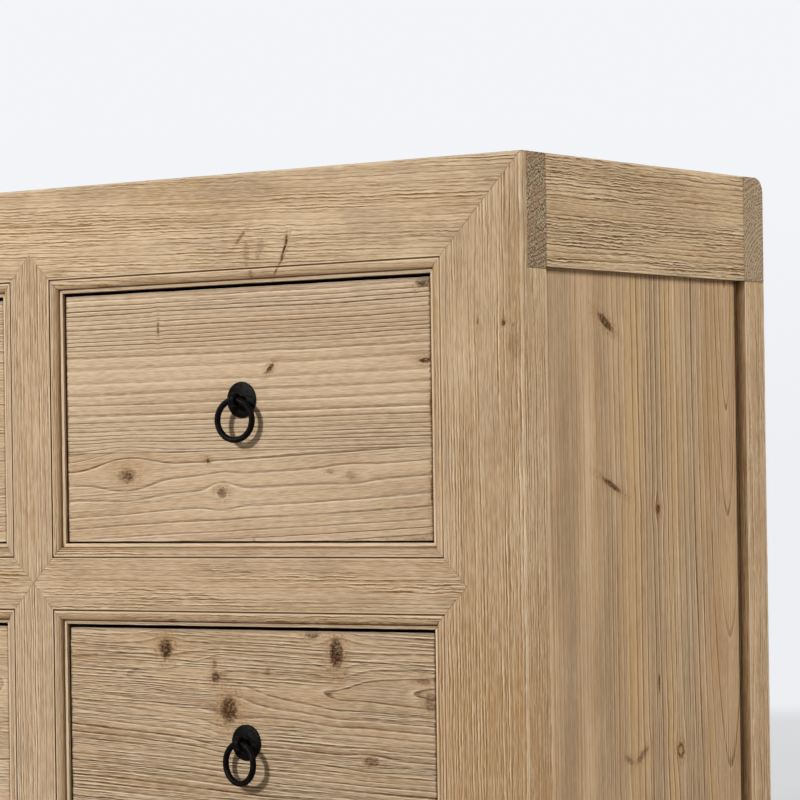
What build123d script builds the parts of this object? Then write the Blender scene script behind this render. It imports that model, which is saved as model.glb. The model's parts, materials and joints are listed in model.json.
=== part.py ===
from build123d import *
import math
import os

os.makedirs("parts", exist_ok=True)

# Chest of drawers, all lengths in millimetres.
# X runs along the front, Y from front to back, Z up from the floor.

# Front frame
frame_face = 99.0
mid_face = 75.0
front_thickness = 37.0
mitre_lap = 8.5
opening_width = 424.0
opening_height = 233.0
arris_radius = 2.5

# Moulding round each drawer opening
moulding_width = 13.5
quirk_width = 1.3
quirk_depth = 1.6
bead_start_depth = 0.3
bead_end_depth = 3.4
bead_bulge = 1.3
fillet_width = 3.2
fillet_depth = 4.5
cutter_margin = 2.0

# Carcase
carcase_depth = 400.0
rear_thickness = 34.5
rear_post_width = 109.0
rear_centre_post_width = 100.0
side_rail_height = 97.0
side_rail_thickness = 30.0
top_rear_radius = 14.0

# Panels held in grooves
groove_depth = 8.0
side_panel_recess = 10.0
side_panel_thickness = 14.0
panel_shrink_gap = 2.6
panel_shrink_depth = 7.0
back_panel_recess = 6.0
back_panel_thickness = 10.0
top_panel_thickness = 18.0
top_panel_tongue = 8.0
top_panel_sink = 0.5
bottom_panel_thickness = 12.0
bottom_panel_height = 58.0

# Drawer boxes
drawer_recess = 6.5
side_gap = 2.0
bottom_gap = 1.5
top_gap = 3.0
front_board = 20.0
front_edge_radius = 1.0
drawer_side_thickness = 12.0
drawer_side_drop = 10.0
drawer_back_thickness = 12.0
drawer_bottom_thickness = 6.0
drawer_bottom_lift = 10.0
drawer_groove = 6.0
seat_gap = 0.3

# Runners
runner_board = 16.0
runner_under = 14.0
guide_height = 30.0
guide_width = 20.0
guide_gap = 0.5

# Ring pulls
plate_radius = 16.25
plate_rim = 1.4
plate_dome = 3.2
pull_lift = 13.0
eye_reach = 11.0
eye_wall = 2.6
eye_thickness = 6.0
eye_edge_radius = 1.2
eye_hole_slack = 0.8
neck_radius = 3.8
shank_radius = 3.0
shank_length_inside = 2.4
leg_length = 16.0
leg_width = 5.0
wire_radius = 2.8
ring_outer_diameter = 41.5
ring_sag = 0.25
ring_twist = {
    "upper_left": -5.0,
    "lower_left": 4.0,
    "upper_right": 8.0,
    "lower_right": -8.0,
}

# Sizes that follow from the ones above
chest_width = 2 * frame_face + 2 * opening_width + mid_face
chest_height = 2 * frame_face + 2 * opening_height + mid_face
half_width = chest_width / 2
half_mid = mid_face / 2
opening_outer = half_width - frame_face
crossing_height = chest_height / 2
top_underside = chest_height - frame_face
rear_face = carcase_depth - rear_thickness
eye_hole_radius = wire_radius + eye_hole_slack
eye_radius = eye_hole_radius + eye_wall
ring_mean_radius = ring_outer_diameter / 2 - wire_radius
pull_proud = eye_reach + eye_radius - drawer_recess
middle_y = (carcase_depth - pull_proud) / 2

columns = {"left": -1, "right": 1}
rows = {"upper": frame_face + opening_height + mid_face, "lower": frame_face}


def block(x0, x1, y0, y1, z0, z1):
    """Box between two corners."""
    size_x = x1 - x0
    size_y = y1 - y0
    size_z = z1 - z0
    centre = Pos((x0 + x1) / 2, (y0 + y1) / 2, (z0 + z1) / 2)
    return centre * Box(size_x, size_y, size_z)


def plate_of(points, y0, y1):
    """Flat piece with the given outline in X and Z, from depth y0 to y1."""
    outline = Polyline(*[(x, y0, z) for x, z in points], close=True)
    face = make_face(outline)
    return extrude(face, amount=y1 - y0, dir=(0, 1, 0))


def cylinder_x(radius, length, x, y, z):
    """Round bar along X, centred at x, y, z."""
    return Pos(x, y, z) * Rot(0, 90, 0) * Cylinder(radius, length)


def cylinder_y(radius, y0, y1, x, z):
    """Round bar along Y from y0 to y1."""
    return Pos(x, (y0 + y1) / 2, z) * Rot(90, 0, 0) * Cylinder(radius, y1 - y0)


def save(name, shape):
    """Move a finished piece to the chest's own frame and write it."""
    placed = Pos(0, -middle_y, 0) * shape
    solids = placed.solids()
    result = solids[0] if len(solids) == 1 else Compound(children=solids)
    result.label = name
    export_step(result, f"parts/{name}.step")
    print(f"{name}: {len(solids)} solid(s)")


def moulding_face(edge_x, z):
    """Material taken away by the moulding plane, at the left edge of an opening."""
    u_quirk = moulding_width
    u_bead = moulding_width - quirk_width
    u_end = fillet_width
    middle_u = (u_bead + u_end) / 2 - bead_bulge / 2
    middle_v = (bead_start_depth + bead_end_depth) / 2 - bead_bulge

    def at(u, v):
        return (edge_x - u, v, z)

    first = Polyline(
        at(u_end, bead_end_depth),
        at(u_end, fillet_depth),
        at(-cutter_margin, fillet_depth),
        at(-cutter_margin, -cutter_margin),
        at(u_quirk, -cutter_margin),
        at(u_quirk, quirk_depth),
        at(u_bead, quirk_depth),
        at(u_bead, bead_start_depth),
    )
    bead = ThreePointArc(
        at(u_bead, bead_start_depth),
        at(middle_u, middle_v),
        at(u_end, bead_end_depth),
    )
    return make_face(first + bead)


def edge_cutter(length):
    """Moulding cutter for one edge of an opening, cut to 45 degrees at both ends."""
    half = length / 2
    bar = extrude(moulding_face(0, -half - moulding_width), amount=length + 2 * moulding_width, dir=(0, 0, 1))
    wedge = plate_of(
        [
            (-moulding_width, -half - moulding_width),
            (cutter_margin, -half + cutter_margin),
            (cutter_margin, half - cutter_margin),
            (-moulding_width, half + moulding_width),
        ],
        -cutter_margin,
        fillet_depth,
    )
    return bar & wedge


def moulding_cutters(x0, x1, z0, z1):
    """Moulding cutters for the four edges of one opening."""
    middle_x = (x0 + x1) / 2
    middle_z = (z0 + z1) / 2
    upright = edge_cutter(z1 - z0)
    level = edge_cutter(x1 - x0)
    return [
        Pos(x0, 0, middle_z) * upright,
        Pos(x1, 0, middle_z) * Rot(0, 180, 0) * upright,
        Pos(middle_x, 0, z1) * Rot(0, 90, 0) * level,
        Pos(middle_x, 0, z0) * Rot(0, -90, 0) * level,
    ]


def opening_box(column, row):
    """X and Z limits of one drawer opening."""
    side = columns[column]
    inner = side * half_mid
    outer = side * opening_outer
    base = rows[row]
    return min(inner, outer), max(inner, outer), base, base + opening_height


cutters = []
for column in columns:
    for row in rows:
        cutters += moulding_cutters(*opening_box(column, row))


def moulded(shape):
    """Stick the moulding on every edge that borders an opening."""
    for cutter in cutters:
        shape = shape - cutter
    return shape


def soften(shape, axis, radius, test):
    """Round the edges along one axis that pass the test."""
    edges = [e for e in shape.edges().filter_by(axis) if test(e.center())]
    return fillet(edges, radius)


def front_rail(top):
    """Top or bottom rail: mitred front layer, back layer out to the side faces."""
    outer = chest_height if top else 0.0
    inner = top_underside if top else frame_face
    apex = inner + half_mid if top else inner - half_mid
    face = plate_of(
        [
            (-half_width, outer),
            (half_width, outer),
            (opening_outer, inner),
            (half_mid, inner),
            (0, apex),
            (-half_mid, inner),
            (-opening_outer, inner),
        ],
        0,
        mitre_lap,
    )
    low = min(outer, inner)
    back = block(-half_width, half_width, mitre_lap, front_thickness, low, low + frame_face)
    rail = moulded(face + back)
    return soften(rail, Axis.X, arris_radius, lambda c: abs(c.Z - outer) < 0.01 and abs(c.Y) < 0.01)


def front_stile(side):
    """Outer stile, mitred at both ends and notched for the mid rail."""
    outer = side * half_width
    inner = side * opening_outer
    face = plate_of(
        [
            (outer, 0),
            (outer, chest_height),
            (inner, top_underside),
            (inner, crossing_height + half_mid),
            (inner + side * half_mid, crossing_height),
            (inner, crossing_height - half_mid),
            (inner, frame_face),
        ],
        0,
        mitre_lap,
    )
    x0, x1 = min(inner, outer), max(inner, outer)
    back = block(x0, x1, mitre_lap, front_thickness, frame_face, top_underside)
    stile = moulded(face + back)
    return soften(stile, Axis.Z, arris_radius, lambda c: abs(c.X - outer) < 0.01 and abs(c.Y) < 0.01)


def mid_rail(side):
    """Rail between the rows: arrow into the stile, point into the crossing."""
    inner = side * opening_outer
    body = [
        (0, crossing_height),
        (side * half_mid, crossing_height + half_mid),
        (inner, crossing_height + half_mid),
        (inner, crossing_height - half_mid),
        (side * half_mid, crossing_height - half_mid),
    ]
    arrow = [
        (inner, crossing_height + half_mid),
        (inner + side * half_mid, crossing_height),
        (inner, crossing_height - half_mid),
    ]
    shape = plate_of(body, 0, front_thickness) + plate_of(arrow, 0, mitre_lap)
    return moulded(shape)


def centre_stile(up):
    """Stile between the columns: arrow into the rail, point into the crossing."""
    way = 1 if up else -1
    rail_edge = top_underside if up else frame_face
    start = crossing_height + way * half_mid
    body = [
        (0, crossing_height),
        (half_mid, start),
        (half_mid, rail_edge),
        (-half_mid, rail_edge),
        (-half_mid, start),
    ]
    arrow = [
        (half_mid, rail_edge),
        (0, rail_edge + way * half_mid),
        (-half_mid, rail_edge),
    ]
    shape = plate_of(body, 0, front_thickness) + plate_of(arrow, 0, mitre_lap)
    return moulded(shape)


def side_span(side, inner_offset, outer_offset):
    """X limits of a piece between two distances in from a side face."""
    a = side * (half_width - inner_offset)
    b = side * (half_width - outer_offset)
    return min(a, b), max(a, b)


# Panels first: the grooves in the frame are cut with them
side_panels = {}
for name, side in columns.items():
    x0, x1 = side_span(side, side_panel_recess + side_panel_thickness, side_panel_recess)
    side_panels[name] = block(
        x0,
        x1,
        front_thickness - groove_depth,
        rear_face + groove_depth,
        side_rail_height - groove_depth,
        chest_height - side_rail_height + groove_depth,
    )
    # The board has shrunk away from the rear post and left an open gap
    face_x = side * (half_width - side_panel_recess)
    floor_x = face_x - side * panel_shrink_depth
    side_panels[name] -= block(
        min(face_x, floor_x),
        max(face_x, floor_x),
        rear_face - panel_shrink_gap,
        rear_face,
        side_rail_height,
        chest_height - side_rail_height,
    )

rear_post_inner = half_width - rear_post_width
back_y0 = carcase_depth - back_panel_recess - back_panel_thickness
back_panel = block(
    -rear_post_inner - groove_depth,
    rear_post_inner + groove_depth,
    back_y0,
    back_y0 + back_panel_thickness,
    side_rail_height - groove_depth,
    chest_height - side_rail_height + groove_depth,
)

field_x = half_width - side_rail_thickness
top_face = chest_height - top_panel_sink
top_base = top_face - top_panel_thickness
top_panel = block(-field_x, field_x, front_thickness, rear_face, top_base, top_face)
top_panel += block(
    -field_x - groove_depth,
    field_x + groove_depth,
    front_thickness - groove_depth,
    rear_face + groove_depth,
    top_base,
    top_base + top_panel_tongue,
)
bottom_panel = block(
    -field_x - groove_depth,
    field_x + groove_depth,
    front_thickness - groove_depth,
    rear_face + groove_depth,
    bottom_panel_height,
    bottom_panel_height + bottom_panel_thickness,
)


def grooved(shape):
    """Cut the panel grooves into a frame piece."""
    for panel in [top_panel, bottom_panel, back_panel, *side_panels.values()]:
        shape = shape - panel
    return shape


save("front_top_rail", grooved(front_rail(True)))
save("front_bottom_rail", grooved(front_rail(False)))
save("centre_stile_upper", centre_stile(True))
save("centre_stile_lower", centre_stile(False))
for name, side in columns.items():
    save(f"front_{name}_stile", grooved(front_stile(side)))
    save(f"mid_rail_{name}", mid_rail(side))
    save(f"{name}_side_panel", side_panels[name])

rail_top_z = chest_height - side_rail_height
rear_top = block(-half_width, half_width, rear_face, carcase_depth, rail_top_z, chest_height)
rear_top = soften(
    rear_top,
    Axis.X,
    top_rear_radius,
    lambda c: abs(c.Z - chest_height) < 0.01 and abs(c.Y - carcase_depth) < 0.01,
)
rear_bottom = block(-half_width, half_width, rear_face, carcase_depth, 0, side_rail_height)
save("rear_top_rail", grooved(rear_top))
save("rear_bottom_rail", grooved(rear_bottom))
save("back_panel", back_panel)
save("top_panel", top_panel)
save("bottom_panel", bottom_panel)

half_centre_post = rear_centre_post_width / 2
save(
    "rear_centre_post",
    block(-half_centre_post, half_centre_post, rear_face, back_y0, side_rail_height, rail_top_z),
)

for name, side in columns.items():
    x0, x1 = side_span(side, rear_post_width, 0)
    post = block(x0, x1, rear_face, carcase_depth, side_rail_height, rail_top_z)
    save(f"rear_{name}_post", grooved(post))
    x0, x1 = side_span(side, side_rail_thickness, 0)
    upper = block(x0, x1, front_thickness, rear_face, rail_top_z, chest_height)
    lower = block(x0, x1, front_thickness, rear_face, 0, side_rail_height)
    save(f"{name}_top_rail", grooved(upper))
    save(f"{name}_bottom_rail", grooved(lower))

# Runners carry the drawer sides and guide them
for row, base in rows.items():
    bearing = base + bottom_gap - seat_gap
    board_z0 = bearing - runner_board
    guide_top = bearing + guide_height
    guide_face = half_mid + side_gap - guide_gap
    reach = half_mid + side_gap + runner_under
    centre = block(-reach, reach, front_thickness, rear_face, board_z0, bearing)
    centre += block(-guide_face, guide_face, front_thickness, rear_face, bearing, guide_top)
    save(f"runner_centre_{row}", centre)
    for name, side in columns.items():
        inner = opening_outer - side_gap - runner_under
        outer = half_width - side_rail_thickness
        guide = opening_outer - side_gap + guide_gap
        runner = block(
            min(side * inner, side * outer),
            max(side * inner, side * outer),
            front_thickness,
            rear_face,
            board_z0,
            bearing,
        )
        runner += block(
            min(side * guide, side * (guide + guide_width)),
            max(side * guide, side * (guide + guide_width)),
            front_thickness,
            rear_face,
            bearing,
            guide_top,
        )
        save(f"runner_{name}_{row}", runner)


def pull_plate(x, z):
    """Domed round plate behind the eye."""
    rim_y = drawer_recess - plate_rim
    crown_y = drawer_recess - plate_dome
    edge = Polyline((0, crown_y), (0, drawer_recess), (plate_radius, drawer_recess), (plate_radius, rim_y))
    dome = TangentArc((0, crown_y), (plate_radius, rim_y), tangent=(1, 0))
    return Pos(x, 0, z) * revolve(make_face(edge + dome), Axis.Y, 360)


def pull_eye(x, z):
    """Eye with its neck, a shank through the drawer front and two bent legs."""
    eye_y = drawer_recess - eye_reach
    head = cylinder_x(eye_radius, eye_thickness, x, eye_y, z)
    head = fillet(head.edges().filter_by(GeomType.CIRCLE), eye_edge_radius)
    neck = cylinder_y(neck_radius, eye_y, drawer_recess - plate_rim, x, z)
    inside = drawer_recess + front_board
    shank = cylinder_y(shank_radius, eye_y, inside + shank_length_inside, x, z)
    legs = block(
        x - leg_width / 2,
        x + leg_width / 2,
        inside,
        inside + shank_length_inside,
        z - leg_length,
        z + leg_length,
    )
    hole = cylinder_x(eye_hole_radius, 3 * eye_thickness, x, eye_y, z)
    eye = head + neck + shank - hole
    rims = [
        e
        for e in eye.edges().filter_by(GeomType.CIRCLE)
        if abs(e.radius - eye_hole_radius) < 0.01 and abs(e.center().X - x) > eye_thickness / 4
    ]
    return fillet(rims, eye_edge_radius / 2) + legs


def pull_ring(x, z, twist):
    """Round ring hanging through the eye, turned a little about the vertical."""
    eye_y = drawer_recess - eye_reach
    ring = Rot(90, 0, 0) * Torus(ring_mean_radius, wire_radius)
    hung = Rot(0, 0, twist) * Pos(0, 0, -ring_mean_radius) * ring
    return Pos(x, eye_y, z - ring_sag) * hung


for column in columns:
    for row in rows:
        tag = f"{row}_{column}"
        x0, x1, z0, z1 = opening_box(column, row)
        fx0 = x0 + side_gap
        fx1 = x1 - side_gap
        fz0 = z0 + bottom_gap
        fz1 = z1 - top_gap
        board_back = drawer_recess + front_board
        box_end = rear_face - seat_gap
        box_top = fz1 - drawer_side_drop
        bottom_z0 = fz0 + drawer_bottom_lift
        bottom = block(
            fx0 + drawer_side_thickness - drawer_groove,
            fx1 - drawer_side_thickness + drawer_groove,
            board_back - drawer_groove,
            box_end - drawer_back_thickness + drawer_groove,
            bottom_z0,
            bottom_z0 + drawer_bottom_thickness,
        )
        x_pull = (fx0 + fx1) / 2
        z_pull = (fz0 + fz1) / 2 + pull_lift
        eye = pull_eye(x_pull, z_pull)
        front = block(fx0, fx1, drawer_recess, board_back, fz0, fz1)
        rim = [e for e in front.edges() if abs(e.center().Y - drawer_recess) < 0.01]
        front = fillet(rim, front_edge_radius)
        save(f"drawer_{tag}_front", front - bottom - eye)
        left = block(fx0, fx0 + drawer_side_thickness, board_back, box_end, fz0, box_top)
        right = block(fx1 - drawer_side_thickness, fx1, board_back, box_end, fz0, box_top)
        back = block(
            fx0 + drawer_side_thickness,
            fx1 - drawer_side_thickness,
            box_end - drawer_back_thickness,
            box_end,
            fz0,
            box_top,
        )
        save(f"drawer_{tag}_left_side", left - bottom)
        save(f"drawer_{tag}_right_side", right - bottom)
        save(f"drawer_{tag}_back", back - bottom)
        save(f"drawer_{tag}_bottom", bottom)
        save(f"pull_{tag}_plate", pull_plate(x_pull, z_pull) - eye)
        save(f"pull_{tag}_eye", eye)
        save(f"ring_{tag}", pull_ring(x_pull, z_pull, ring_twist[tag]))

print(f"chest {chest_width} x {carcase_depth} x {chest_height}")
print(f"front face at y {-middle_y}, pulls stand {pull_proud} proud")
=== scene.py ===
import json
import logging
import math
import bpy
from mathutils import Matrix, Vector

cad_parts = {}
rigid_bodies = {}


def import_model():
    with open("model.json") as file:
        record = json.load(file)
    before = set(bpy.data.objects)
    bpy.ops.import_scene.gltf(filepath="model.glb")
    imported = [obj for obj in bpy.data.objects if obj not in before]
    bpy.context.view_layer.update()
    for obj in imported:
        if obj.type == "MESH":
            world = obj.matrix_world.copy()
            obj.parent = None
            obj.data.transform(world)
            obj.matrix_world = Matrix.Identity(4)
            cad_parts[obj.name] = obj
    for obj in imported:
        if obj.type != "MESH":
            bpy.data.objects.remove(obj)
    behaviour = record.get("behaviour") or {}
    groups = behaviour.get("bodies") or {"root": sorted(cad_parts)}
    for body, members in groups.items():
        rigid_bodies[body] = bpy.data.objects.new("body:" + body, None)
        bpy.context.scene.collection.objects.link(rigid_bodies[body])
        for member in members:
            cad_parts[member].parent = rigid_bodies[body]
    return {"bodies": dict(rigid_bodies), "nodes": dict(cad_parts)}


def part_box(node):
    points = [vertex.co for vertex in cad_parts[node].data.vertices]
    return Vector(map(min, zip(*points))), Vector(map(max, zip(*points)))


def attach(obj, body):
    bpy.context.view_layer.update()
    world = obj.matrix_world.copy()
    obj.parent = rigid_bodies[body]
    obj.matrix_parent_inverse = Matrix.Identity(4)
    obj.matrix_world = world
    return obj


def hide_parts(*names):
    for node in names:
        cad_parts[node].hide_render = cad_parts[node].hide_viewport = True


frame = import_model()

import zlib
from dataclasses import dataclass, field
from enum import Enum

import bmesh
import bpy
from mathutils import Matrix, Vector, noise
from mathutils.bvhtree import BVHTree

log = logging.getLogger("chest")
RGB = tuple[float, float, float]
Band = tuple[float, float, float, float]
Settings = dict[str, object]
Inputs = dict[str | int, object]
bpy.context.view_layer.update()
MM = 0.001
WELD_DISTANCE = 0.002 * MM
FLAT_ANGLE = math.radians(0.6)
ARRIS_ANGLE = math.radians(33)
SHARP_ANGLE = math.radians(32)
ARRIS_WIDTH = 3.0 * MM
SEED_COUNT = 997
RING_STEPS = 72
WIRE_STEPS = 18
HAMMER_SCALE = 130.0
HAMMER_LEVEL = 0.62


class Grain(Enum):
    """Axes of a board: along the grain, across its face, and through it."""

    X_FACING_Y = (0, 2, 1)
    Y_FACING_X = (1, 2, 0)
    Z_FACING_Y = (2, 0, 1)
    Z_FACING_X = (2, 1, 0)
    X_FACING_Z = (0, 1, 2)


class Val:
    """A shader socket that Python's operators turn into Math nodes."""

    def __init__(self, kit: "NodeKit", socket: bpy.types.NodeSocket) -> None:
        self.kit = kit
        self.socket = socket

    def math(self, operation: str, *others: "Val | float") -> "Val":
        """Add one Math node.

        Args:
            operation: The Math node's operation.
            others: Second and third operands.

        Returns:
            The node's result.
        """
        return self.kit.add("ShaderNodeMath", {"operation": operation}, dict(enumerate((self, *others))))

    def __add__(self, other: "Val | float") -> "Val":
        """Sum."""
        return self.math("ADD", other)

    def __sub__(self, other: "Val | float") -> "Val":
        """Difference."""
        return self.math("SUBTRACT", other)

    def __rsub__(self, other: float) -> "Val":
        """Difference from a number."""
        return self.kit.add("ShaderNodeMath", {"operation": "SUBTRACT"}, {0: other, 1: self})

    def __mul__(self, other: "Val | float") -> "Val":
        """Product."""
        return self.math("MULTIPLY", other)

    def __truediv__(self, other: "Val | float") -> "Val":
        """Quotient."""
        return self.math("DIVIDE", other)

    def __pow__(self, other: float) -> "Val":
        """Power."""
        return self.math("POWER", other)

    def step(self, low: float, high: float) -> "Val":
        """Smooth step from 0 at low to 1 at high, or down where high is below low."""
        inputs = {"Value": self, "From Min": low, "From Max": high}
        return self.kit.add("ShaderNodeMapRange", {"interpolation_type": "SMOOTHSTEP"}, inputs)

    def within(self, band: Band) -> "Val":
        """Fade in from the first to the second edge of a band, and out from the third to the fourth."""
        start, full, last, end = band
        return self.step(start, full) * self.step(end, last)

    def bell(self, middle: float, half: float) -> "Val":
        """Soft hump of height 1 round a middle."""
        reach = (self - middle) / half
        return (reach * reach * -1.0).math("EXPONENT")


class NodeKit:
    """Adds nodes to one tree."""

    def __init__(self, tree: bpy.types.NodeTree) -> None:
        """Take over a tree and empty it."""
        self.tree = tree
        self.tree.nodes.clear()

    def feed(self, node: bpy.types.Node, inputs: Inputs) -> None:
        """Link or set the sockets of a node.

        Args:
            node: The node.
            inputs: Socket name or number to a value, another node's socket or a Val.
        """
        for key, value in inputs.items():
            source = value.socket if isinstance(value, Val) else value
            if isinstance(source, bpy.types.NodeSocket):
                self.tree.links.new(source, node.inputs[key])
            else:
                node.inputs[key].default_value = source

    def node(self, kind: str, settings: Settings, inputs: Inputs) -> bpy.types.Node:
        """Add a node.

        Args:
            kind: The node's type.
            settings: Its properties, set before its sockets.
            inputs: What its sockets get.

        Returns:
            The node.
        """
        made = self.tree.nodes.new(kind)
        for key, value in settings.items():
            setattr(made, key, value)
        self.feed(made, inputs)
        return made

    def add(self, kind: str, settings: Settings, inputs: Inputs, out: str | int = 0) -> Val:
        """Add a node and wrap one of its outputs."""
        return Val(self, self.node(kind, settings, inputs).outputs[out])

    def attribute(self, name: str, out: str = "Vector") -> Val:
        """Read a named attribute of the mesh."""
        return self.add("ShaderNodeAttribute", {"attribute_name": name}, {}, out)

    def parts(self, vector: Val) -> tuple[Val, Val, Val]:
        """Split a vector into its three numbers."""
        made = self.node("ShaderNodeSeparateXYZ", {}, {0: vector})
        return Val(self, made.outputs[0]), Val(self, made.outputs[1]), Val(self, made.outputs[2])

    def point(self, x: Val | float, y: Val | float, z: Val | float) -> Val:
        """Join three numbers into a vector."""
        return self.add("ShaderNodeCombineXYZ", {}, {0: x, 1: y, 2: z})

    def vector(self, operation: str, first: object, second: object, out: str | int = 0) -> Val:
        """Add one Vector Math node."""
        return self.add("ShaderNodeVectorMath", {"operation": operation}, {0: first, 1: second}, out)

    def noise(self, place: Val, detail: float = 2.0, rough: float = 0.5) -> Val:
        """Smooth noise about one half, one wave to a unit."""
        inputs = {"Vector": place, "Scale": 1.0, "Detail": detail, "Roughness": rough}
        return self.add("ShaderNodeTexNoise", {"noise_dimensions": "3D"}, inputs, "Fac")

    def chance(self, place: Val, dimensions: str) -> Val:
        """Draw a chance from 0 to 1 for each whole place."""
        socket = "W" if dimensions == "1D" else "Vector"
        return self.add("ShaderNodeTexWhiteNoise", {"noise_dimensions": dimensions}, {socket: place}, "Value")

    def mix(self, share: Val | float, first: Val | RGB, second: Val | RGB) -> Val:
        """Mix two colours."""
        inputs = {
            0: share,
            6: first if isinstance(first, Val) else (*first, 1.0),
            7: second if isinstance(second, Val) else (*second, 1.0),
        }
        return self.add("ShaderNodeMix", {"data_type": "RGBA"}, inputs, 2)


class MaterialKit(NodeKit):
    """Builds one material."""

    def __init__(self, name: str) -> None:
        """Start a material with its output and surface shader.

        Args:
            name: The material's name.
        """
        self.material = bpy.data.materials.new(name)
        self.material.use_nodes = True
        super().__init__(self.material.node_tree)
        self.output = self.node("ShaderNodeOutputMaterial", {}, {})
        self.shader = self.node("ShaderNodeBsdfPrincipled", {}, {})
        self.feed(self.output, {"Surface": self.shader.outputs["BSDF"]})

    def bump(self, height: Val, strength: float) -> Val:
        """Turn a height in millimetres into a normal."""
        inputs = {"Strength": strength, "Distance": MM, "Height": height}
        return self.add("ShaderNodeBump", {}, inputs, "Normal")

    def finish(self, color: Val, roughness: Val | float, specular: float) -> bpy.types.Material:
        """Feed the surface shader and hand over the material."""
        self.feed(self.shader, {"Base Color": color, "Roughness": roughness, "Specular IOR Level": specular})
        return self.material


@dataclass(frozen=True)
class Knot:
    """A knot on a board, in millimetres from the board's middle.

    along and across place it, size is its core's half height across the grain, stretch its
    core's length over its height, dark how dark it is, swirl how far it parts the rings,
    lean how far it slants along the grain for each millimetre across, and hollow how pale its
    middle is.
    """

    along: float
    across: float
    size: float = 4.0
    stretch: float = 1.2
    dark: float = 0.8
    swirl: float = 5.0
    lean: float = 0.0
    hollow: float = 0.0


@dataclass(frozen=True)
class Stripe:
    """A band of another tone along a board: its place, half width and share."""

    across: float
    half: float
    share: float
    tone: str


@dataclass(frozen=True)
class LowBoard:
    """How the board below a front's glued joint differs: ring spacing, fine fibres and slope."""

    spacing: float
    fibres: float
    slope: float


@dataclass(frozen=True)
class PineFinish:
    """Brushed and washed pine, drawn in the board's own coordinates in millimetres.

    The rings lie round a heart that is heart_depth behind the face and heart_across from its
    middle, and comes nearer along the board by tilt, so their lines run straight at a board's
    edge and in long arches over its middle. pitch is the distance between rings and slope their
    slant. They stray by wander over long lengths, by ripple over ripple_length and by jitter
    over short ones, and crowd by swell about every swell_period, as at dense_at. steady is how
    even their lines are. quiet holds calmer stretches across the board, each with its middle,
    half width and share. stroke_length, line_width and ragged are lengths. The other numbers
    are shares of what the shader draws under the same name.
    """

    name: str
    pale: RGB = (0.665, 0.485, 0.312)
    tan: RGB = (0.545, 0.38, 0.23)
    late: RGB = (0.22, 0.095, 0.008)
    warm: RGB = (0.48, 0.285, 0.138)
    grey: RGB = (0.40, 0.295, 0.195)
    # pale tone of worn ridges, fibres and arrises, also used for painted highlights on ring ridges and the
    # moulding
    ridge: RGB = (0.95, 0.765, 0.545)
    gold: RGB = (0.62, 0.40, 0.19)
    knot_color: RGB = (0.070, 0.029, 0.009)
    pitch: float = 6.0
    heart_depth: float = 70.0
    heart_across: float = 10.0
    tilt: float = 0.05
    slope: float = 0.0
    wander: float = 7.0
    ripple: float = 1.4
    ripple_length: float = 55.0
    lines: float = 0.8
    line_width: float = 0.9
    steady: float = 0.45
    # share of the worn ridge with its painted highlight beside each ring line
    ridges: float = 0.5
    strokes: float = 0.4
    stroke_length: float = 34.0
    threads: float = 0.5
    hair: float = 0.24
    furrows: float = 0.4
    swell: float = 0.0
    swell_period: float = 100.0
    dense_at: float = 0.0
    bands: float = 0.5
    relief: float = 0.55
    jitter: float = 0.6
    # share of painted shade deep in the gap round a drawer opening
    gloom: float = 0.97
    body: float = 0.40
    # share and tone of the painted shade in the moulding's quirk
    quirk: float = 0.72
    quirk_tone: RGB = (0.14, 0.050, 0.002)
    # share of the painted shadow of the rail above on a board's upper rim
    rim: float = 0.0
    ragged: float = 3.0
    quiet: tuple[tuple[float, float, float], ...] = ()
    tail: float = 0.0
    stripes: tuple[Stripe, ...] = ()
    glue_lines: tuple[float, ...] = ()
    low_board: LowBoard | None = None
    mottle: float = 0.30
    arcs: float = 0.0
    seams: float = 0.42
    knots: tuple[Knot, ...] = ()

    def dress(self) -> bpy.types.Material:
        """Build the material."""
        return PineShader(self).build()


class Moulding:
    """Stretches of the moulding, each a band in millimetres outside its drawer opening."""

    gap: Band = (-5.0, -4.0, 1.0, 3.0)
    shaded_fillet: Band = (-0.5, 0.0, 2.6, 3.3)
    fillet: Band = (0.0, 0.5, 2.7, 3.1)
    bead_foot: Band = (2.8, 3.2, 3.9, 4.6)
    bead_shade: Band = (2.9, 3.3, 4.0, 10.0)
    inner_lip: Band = (10.8, 11.4, 12.0, 12.4)
    quirk: Band = (12.0, 12.3, 13.4, 13.7)
    outer_lip: Band = (13.4, 13.7, 14.2, 14.8)


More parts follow.
